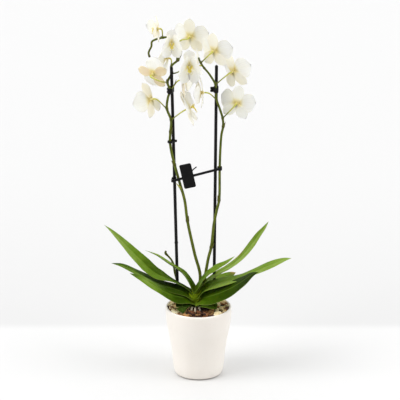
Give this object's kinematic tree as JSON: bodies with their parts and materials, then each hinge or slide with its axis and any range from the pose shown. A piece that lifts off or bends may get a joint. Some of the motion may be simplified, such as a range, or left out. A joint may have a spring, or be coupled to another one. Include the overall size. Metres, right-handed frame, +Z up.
{
  "type": "potted orchid",
  "caption": "White moth orchid with two arching flower spikes tied to black stakes, strap leaves and bark, in a tapered white ceramic pot.",
  "frame": {"origin": "centre of the pot's foot, on the surface that it stands on", "axes": "+Z up; the picture looks along +Y, so +X is its right"},
  "size_m": [0.3398, 0.1508, 0.6899],
  "materials": {
    "ceramic": "satin white glaze",
    "bark": "rough dry bark chips",
    "crown": "pale green living stem",
    "root": "dry silvery root skin",
    "leaf": "satin green leaf",
    "stem": "satin olive stem",
    "plastic": "black",
    "petal": "soft white petal",
    "lip": "soft yellow and white petal"
  },
  "bodies": {
    "root": {"pot": "ceramic", "bark": "bark", "crown": "crown", "root_1": "root", "root_2": "root", "root_3": "root", "stake_left": "plastic", "stake_right": "plastic", "leaf_left_1": "leaf", "leaf_left_2": "leaf", "leaf_left_3": "leaf", "leaf_left_4": "leaf", "leaf_left_5": "leaf", "leaf_right_1": "leaf", "leaf_right_2": "leaf", "leaf_right_3": "leaf", "leaf_right_4": "leaf", "leaf_right_5": "leaf", "leaf_right_6": "leaf", "old_spike": "stem", "spike_left": "stem", "spike_right": "stem", "clip_left_high": "plastic", "clip_left_low": "plastic", "clip_right": "plastic", "tie_bar": "plastic", "tag": "plastic", "left_bloom_1_lip": "lip", "left_bloom_1_tepals": "petal", "left_bloom_2_lip": "lip", "left_bloom_2_tepals": "petal", "left_bloom_3_lip": "lip", "left_bloom_3_tepals": "petal", "left_bloom_4_lip": "lip", "left_bloom_4_tepals": "petal", "left_bloom_5_lip": "lip", "left_bloom_5_tepals": "petal", "left_bloom_6_lip": "lip", "left_bloom_6_tepals": "petal", "left_bloom_7_lip": "lip", "left_bloom_7_tepals": "petal", "left_bloom_8_lip": "lip", "left_bloom_8_tepals": "petal", "left_bloom_9_lip": "lip", "left_bloom_9_tepals": "petal", "right_bloom_1_lip": "lip", "right_bloom_1_tepals": "petal", "right_bloom_2_lip": "lip", "right_bloom_2_tepals": "petal", "right_bloom_3_lip": "lip", "right_bloom_3_tepals": "petal", "right_bloom_4_lip": "lip", "right_bloom_4_tepals": "petal", "right_bloom_5_lip": "lip", "right_bloom_5_tepals": "petal"}
  },
  "joints": []
}
